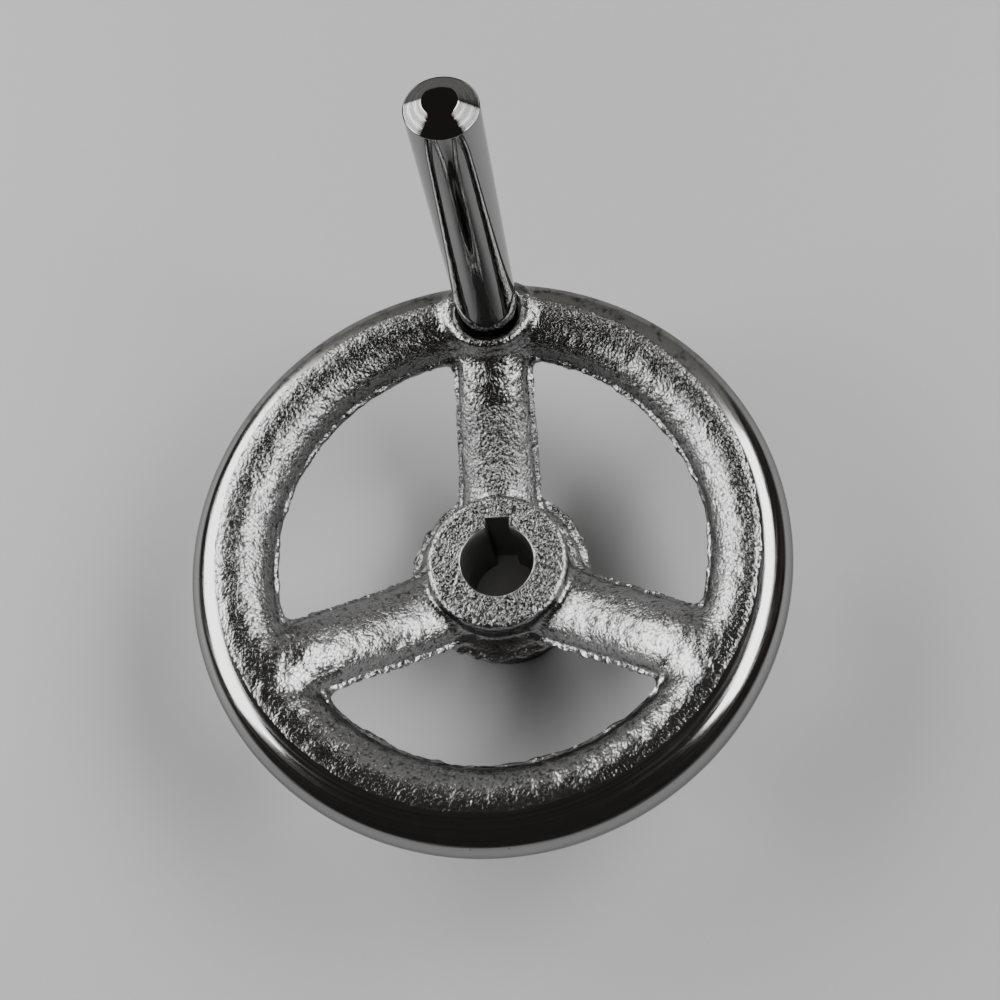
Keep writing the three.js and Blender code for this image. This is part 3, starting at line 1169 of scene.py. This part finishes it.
    def build(self) -> Piece:
        """Builds the casting, cuts its holes and dresses it.

        Returns:
            The casting.
        """
        margin = Vector((1.0, 1.0, 1.0)) * MM
        points, quads = net_surface(self.distance, self.low - margin, self.high + margin, self.pitch)
        mesh = mesh_of("casting", self.roughen(points), quads.tolist())
        casting = new_piece(mesh, self.skin, WHEEL_BODY, "wheel_casting")
        cut(casting, self.cutters(), self.machined)
        sharpen(casting.data, 50.0)
        self.smooth_normals(casting.data)
        log.info("casting: %d faces", len(casting.data.polygons))
        return casting


# ---- The crank handle ----


def thread_wave(heights: Array, angles: Array, pitch: float) -> Array:
    """Depth of a screw thread, 0 at the crest and 1 at the root, at heights and angles."""
    turns = heights / pitch - angles / (2.0 * math.pi)
    return np.clip(2.6 * np.abs((turns % 1.0) - 0.5) - 0.15, 0.0, 1.0)


@dataclass
class CrankHandle:
    """The revolving grip, the spindle that it turns on, and what holds them."""

    steps: int = 128
    end_flat: float = 2.45 * MM
    end_cone: float = 1.4 * MM
    edge_round: float = 0.16 * MM
    foot_round: float = 0.3 * MM
    bore_chamfer: float = 0.5 * MM
    ring_pitch: float = 0.21 * MM
    ring_wave: float = 0.02 * MM
    bore: float = 3.1 * MM
    bore_depth: float = 46.0 * MM
    groove_radius: float = 3.7 * MM
    groove_half: float = 0.6 * MM
    journal: float = 3.0 * MM
    spindle_groove: float = 2.5 * MM
    spindle_groove_half: float = 0.5 * MM
    flange: float = 4.7 * MM
    flange_thickness: float = 1.2 * MM
    washer_gap: float = 0.05 * MM
    ring_from_tip: float = 4.0 * MM
    slot_width: float = 1.2 * MM
    slot_depth: float = 1.4 * MM
    thread_pitch: float = 1.0 * MM
    thread_depth: float = 0.5 * MM
    thread_length: float = 8.5 * MM
    thread_lead: float = 0.35 * MM
    thread_fade: float = 1.2 * MM
    rows_per_turn: int = 10
    tip_chamfer: float = 0.6 * MM
    nut_across_flats: float = 10.0 * MM
    nut_chamfer_slope: float = 0.55
    nut_thread_depth: float = 0.3 * MM
    stud_gap: float = 3.15 * MM
    slit_half_angle: float = 0.16
    slit_lean: float = 0.09
    washer_round: float = 0.12
    washer_spring: float = 0.1 * MM
    chrome: TurnedMetal = field(default_factory=lambda: TurnedMetal(
        "polished_chrome", (0.29, 0.29, 0.288), 0.04, ring_depth=0.0000006, ring_scale=5000.0))
    steel: TurnedMetal = field(default_factory=lambda: TurnedMetal(
        "lathe_turned_steel", (0.5, 0.49, 0.47), 0.28, ring_depth=0.000003))
    spring: TurnedMetal = field(default_factory=lambda: TurnedMetal(
        "tempered_spring_steel", (0.22, 0.215, 0.22), 0.36, ring_depth=0.000001))
    zinc: TurnedMetal = field(default_factory=lambda: TurnedMetal(
        "zinc_plate", (0.6, 0.61, 0.63), 0.33, ring_depth=0.000002))
    low: Vector = field(init=False)
    high: Vector = field(init=False)

    def __post_init__(self) -> None:
        """Reads the places from the frame."""
        self.low, self.high = (Vector(corner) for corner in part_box("handle_grip"))
        self.axis = Vector((0.0, 0.5 * (self.low.y + self.high.y), 0.0))
        self.radius = 0.5 * (self.high.x - self.low.x)
        self.spindle_low, self.spindle_high = (corner.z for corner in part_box("handle_spindle"))
        self.ring_height = self.spindle_high - self.ring_from_tip

    def grip(self) -> Piece:
        """The bright grip: a sleeve closed at its free end, with a turned cone round a small flat.

        Returns:
            The grip.
        """
        foot, top, bore, soft = self.low.z, self.high.z, self.bore, self.foot_round
        bore_end = foot + self.bore_depth
        above, below = self.ring_height + self.groove_half, self.ring_height - self.groove_half
        outline = [(0.0, bore_end), (bore, bore_end), (bore, above), (self.groove_radius, above),
                   (self.groove_radius, below), (bore, below), (bore, foot + self.bore_chamfer),
                   (bore + self.bore_chamfer, foot)]
        outline += arc((self.radius - soft, foot + soft), soft, -90.0, 0.0, 5)
        cone_foot = Vector((self.radius, top - self.end_cone))
        outline += [(self.radius, foot + (cone_foot.y - foot) * i / 12.0) for i in range(1, 12)]
        edge = self.edge_round
        outline += arc((self.radius - edge, cone_foot.y - 0.4 * edge), edge, 0.0, 50.0, 4)
        run = Vector((self.end_flat, top)) - cone_foot
        inward = Vector((-run.y, run.x)).normalized()
        rows = int(run.length / (self.ring_pitch / 6.0))
        for share in (i / rows for i in range(2, rows - 1)):
            wave = self.ring_wave * math.cos(2.0 * math.pi * share * run.length / self.ring_pitch)
            wave *= 0.4 + 0.6 * abs(math.sin(9.0 * share))
            outline.append(tuple(cone_foot + run * share + inward * (0.02 * MM + self.ring_wave - wave)))
        outline += [(self.end_flat - 0.03 * MM, top - 0.012 * MM), (self.end_flat - 0.12 * MM, top),
                    (0.5 * self.end_flat, top - 0.01 * MM), (0.0, top - 0.015 * MM)]
        mesh = lathe("handle_grip_sleeve", outline, self.axis, self.steps)
        sharpen(mesh, 60.0)
        return new_piece(mesh, self.chrome, GRIP_BODY, "handle_grip")

    def spindle(self) -> Piece:
        """The spindle: threaded stud, flange, and a journal with a ring groove and a driver slot.

        Returns:
            The spindle.
        """
        tip, foot, journal, groove = self.spindle_high, self.spindle_low, self.journal, self.spindle_groove
        flange_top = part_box("thrust_washer")[0].z - self.washer_gap
        flange_foot = flange_top - self.flange_thickness
        above, below = (self.ring_height + side * self.spindle_groove_half for side in (1.0, -1.0))
        start = foot + self.thread_lead
        end = start + self.thread_length
        rows = int(self.thread_length / self.thread_pitch * self.rows_per_turn)
        outline = [(0.0, foot), (journal - 0.5 * MM, foot)]
        outline += [(journal, start + self.thread_length * i / rows) for i in range(rows + 1)]
        outline += [(journal, flange_foot), (self.flange, flange_foot), (self.flange, flange_top),
                    (journal, flange_top), (journal, below), (groove, below), (groove, above),
                    (journal, above), (journal, tip - self.tip_chamfer), (journal - self.tip_chamfer, tip),
                    (0.0, tip)]

        def threaded(radii: Array, heights: Array, angles: Array) -> Array:
            """Cuts the thread into a ring's radii, and fades it out at its end."""
            fade = np.clip((end - heights) / self.thread_fade, 0.0, 1.0) * (heights > foot + 0.2 * MM)
            return radii - self.thread_depth * thread_wave(heights, angles, self.thread_pitch) * fade

        mesh = lathe("handle_spindle_turned", outline, self.axis, 48, threaded)
        spindle = new_piece(mesh, self.steel, WHEEL_BODY, "handle_spindle")
        half = Vector((self.radius, 0.5 * self.slot_width, self.slot_depth))
        centre = Vector((0.0, self.axis.y, tip))
        cut(spindle, [block("slot_tool", centre - half, centre + half)], self.steel)
        sharpen(spindle.data, 40.0)
        return spindle

    def lock_nut(self) -> Piece:
        """The hexagon nut: corners turned off at both faces and a thread through it.

        Returns:
            The nut.
        """
        foot, top = (corner.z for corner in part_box("lock_nut"))
        flat = 0.5 * self.nut_across_flats
        corner = flat / math.cos(math.pi / 6.0)
        rows = 14
        outline = [(self.stud_gap, foot), (flat * 0.93, foot)]
        outline += [(corner, foot + (top - foot) * (i + 0.5) / rows) for i in range(rows)]
        outline += [(flat * 0.93, top), (self.stud_gap, top)]
        bore_rows = int((top - foot) / self.thread_pitch * self.rows_per_turn)
        bore = self.stud_gap - 0.001 * MM
        outline += [(bore, top + (foot - top) * i / bore_rows) for i in range(1, bore_rows)]

        def hexagon(radii: Array, heights: Array, angles: Array) -> Array:
            """Threads the nut's bore and turns its outside into a hexagon.

            Args:
                radii: One ring's radii.
                heights: Its heights.
                angles: Its angles.

            Returns:
                The new radii.
            """
            if radii[0] < self.stud_gap + 0.01 * MM:
                return radii + self.nut_thread_depth * (1.0 - thread_wave(heights, angles, self.thread_pitch))
            if radii[0] < 0.95 * flat:
                return radii
            sector = (angles + math.pi / 6.0) % (math.pi / 3.0) - math.pi / 6.0
            side = flat / np.cos(sector)
            edge = np.minimum(heights - foot, top - heights)
            return np.minimum(side, 0.97 * flat + edge / self.nut_chamfer_slope)

        mesh = lathe("lock_nut_hexagon", outline, self.axis, 96, hexagon)
        sharpen(mesh, 25.0)
        return new_piece(mesh, self.zinc, WHEEL_BODY, "lock_nut")

    def lock_washer(self) -> Piece:
        """The split spring washer, squeezed nearly flat, its two ends still a little apart in height.

        Returns:
            The washer.
        """
        low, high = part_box("lock_washer")
        outer, pull = 0.5 * (high.y - low.y), self.washer_round
        section = [(self.stud_gap, 0.0), (outer, 0.0), (outer, 1.0), (self.stud_gap, 1.0)]
        soft = []
        for i, (radius, share) in enumerate(section):
            for out, up in (section[i - 1], section[(i + 1) % len(section)]):
                soft.append((radius + pull * MM * np.sign(out - radius), share + pull * np.sign(up - share)))
        thick = high.z - low.z - 2.0 * self.washer_spring
        columns = 90
        points = []
        for share in (j / columns for j in range(columns + 1)):
            turn = self.slit_half_angle + 2.0 * (math.pi - self.slit_half_angle) * share
            rise = low.z + 2.0 * self.washer_spring * share
            for radius, up in soft:
                lean = turn + self.slit_lean * (up - 0.5)
                points.append((radius * math.cos(lean), radius * math.sin(lean), rise + up * thick))
        count = len(soft)
        faces = [[lower + i, lower + (i + 1) % count, lower + count + (i + 1) % count, lower + count + i]
                 for lower in range(0, columns * count, count) for i in range(count)]
        faces.append(list(range(count))[::-1])
        faces.append([columns * count + i for i in range(count)])
        mesh = mesh_of("lock_washer_split", np.array(points) + np.array(self.axis), faces)
        sharpen(mesh, 35.0)
        return new_piece(mesh, self.zinc, WHEEL_BODY, "lock_washer")

    def hidden_parts(self) -> None:
        """Dresses the two small parts inside the grip, whose shapes stay as the frame has them."""
        for node, finish in (("thrust_washer", self.steel), ("retaining_ring", self.spring)):
            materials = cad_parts[node].data.materials
            materials.clear()
            materials.append(finish.material())

    def build(self) -> None:
        """Builds every part of the handle."""
        for piece in (self.grip(), self.spindle(), self.lock_nut(), self.lock_washer()):
            log.info("%s: %d faces", piece.name, len(piece.data.polygons))
        self.hidden_parts()


# ---- The studio ----


@dataclass(frozen=True)
class SoftLight:
    """A large soft light that faces the middle of the wheel.

    The azimuth is counted from the side nearest the camera towards the right, in degrees.
    """

    name: str
    azimuth: float
    elevation: float
    distance: float
    width: float
    height: float
    radiance: float
    tint: Colour = (1.0, 1.0, 1.0)

    def place(self, target: Vector) -> None:
        """Hangs the light and turns it to its target.

        Args:
            target: The point that it faces.
        """
        data = bpy.data.lights.new(self.name, "AREA")
        data.shape = "RECTANGLE"
        data.size, data.size_y = self.width, self.height
        data.energy = self.radiance * math.pi * self.width * self.height
        data.color = self.tint
        turn, rise = math.radians(self.azimuth), math.radians(self.elevation)
        away = Vector((math.sin(turn) * math.cos(rise), -math.cos(turn) * math.cos(rise), math.sin(rise)))
        light = bpy.data.objects.new(self.name, data)
        facing = away.to_track_quat("Z", "Y").to_matrix().to_4x4()
        light.matrix_world = Matrix.Translation(target + away * self.distance) @ facing
        bpy.context.scene.collection.objects.link(light)


@dataclass
class Studio:
    """The table, the lights and the camera."""

    half_table: float = 3.0
    middle: Vector = field(default_factory=lambda: Vector((0.0, 0.0, 0.02)))
    table: TableTop = field(default_factory=lambda: TableTop("pale_table", (0.44, 0.44, 0.444), 0.55))
    lights: tuple[SoftLight, ...] = (
        SoftLight("window_right", 102.0, 45.0, 1.6, 1.7, 0.6, 9.6),
        SoftLight("window_left", -108.0, 33.0, 1.6, 1.9, 0.85, 7.9),
        SoftLight("far_wall", 180.0, 22.0, 1.9, 3.2, 1.5, 0.3, (1.0, 0.985, 0.93)),
    )
    room: float = 0.038
    room_tint: Colour = (1.0, 0.88, 0.8)
    backdrop: float = 0.5
    stand: Vector = field(default_factory=lambda: Vector((20.65, -61.37, 198.755)) * MM)
    gaze: Vector = field(default_factory=lambda: Vector((-0.0182, 0.3567, -0.934)))
    upright: Vector = field(default_factory=lambda: Vector((0.0422, 0.9336, 0.3557)))
    lens: float = 41.75
    shift: Range = (-0.1, 0.015)

    def build(self) -> None:
        """Builds the table, the lights, the room and the camera."""
        half = self.half_table
        corners = [(-half, -half, 0.0), (half, -half, 0.0), (half, half, 0.0), (-half, half, 0.0)]
        top = mesh_of("table_top", np.array(corners), [[0, 1, 2, 3]], smooth=False)
        top.materials.append(self.table.material())
        show(top)
        for light in self.lights:
            light.place(self.middle)
        self.fill_room()
        self.camera()

    def fill_room(self) -> None:
        """Makes the room dim, with a pale backdrop behind what the camera sees."""
        world = bpy.data.worlds.new("room")
        bpy.context.scene.world = world
        world.use_nodes = True
        tree = Tree(world.node_tree)
        seen = tree.add("ShaderNodeLightPath").outputs["Is Camera Ray"]
        strength = tree.blend(seen, self.room, self.backdrop)
        shade = tree.add("ShaderNodeBackground", {"Color": self.room_tint, "Strength": strength})
        tree.add("ShaderNodeOutputWorld", {"Surface": shade.outputs[0]})

    def camera(self) -> None:
        """Stands the camera in its place."""
        data = bpy.data.cameras.new("camera")
        data.sensor_width = 36.0
        data.lens = self.lens
        data.shift_x, data.shift_y = self.shift
        data.clip_start, data.clip_end = 0.01, 30.0
        camera = bpy.data.objects.new("camera", data)
        forward = self.gaze.normalized()
        right = forward.cross(self.upright).normalized()
        turn = Matrix((right, right.cross(forward), -forward)).transposed()
        camera.matrix_world = Matrix.Translation(self.stand) @ turn.to_4x4()
        bpy.context.scene.collection.objects.link(camera)
        bpy.context.scene.camera = camera


def main() -> None:
    """Builds the wheel and its surroundings."""
    Studio().build()
    for part in (WheelCasting(), CrankHandle()):
        part.build()


if __name__ == "__main__":
    logging.basicConfig(level=logging.INFO, format="%(name)s: %(message)s")
    main()
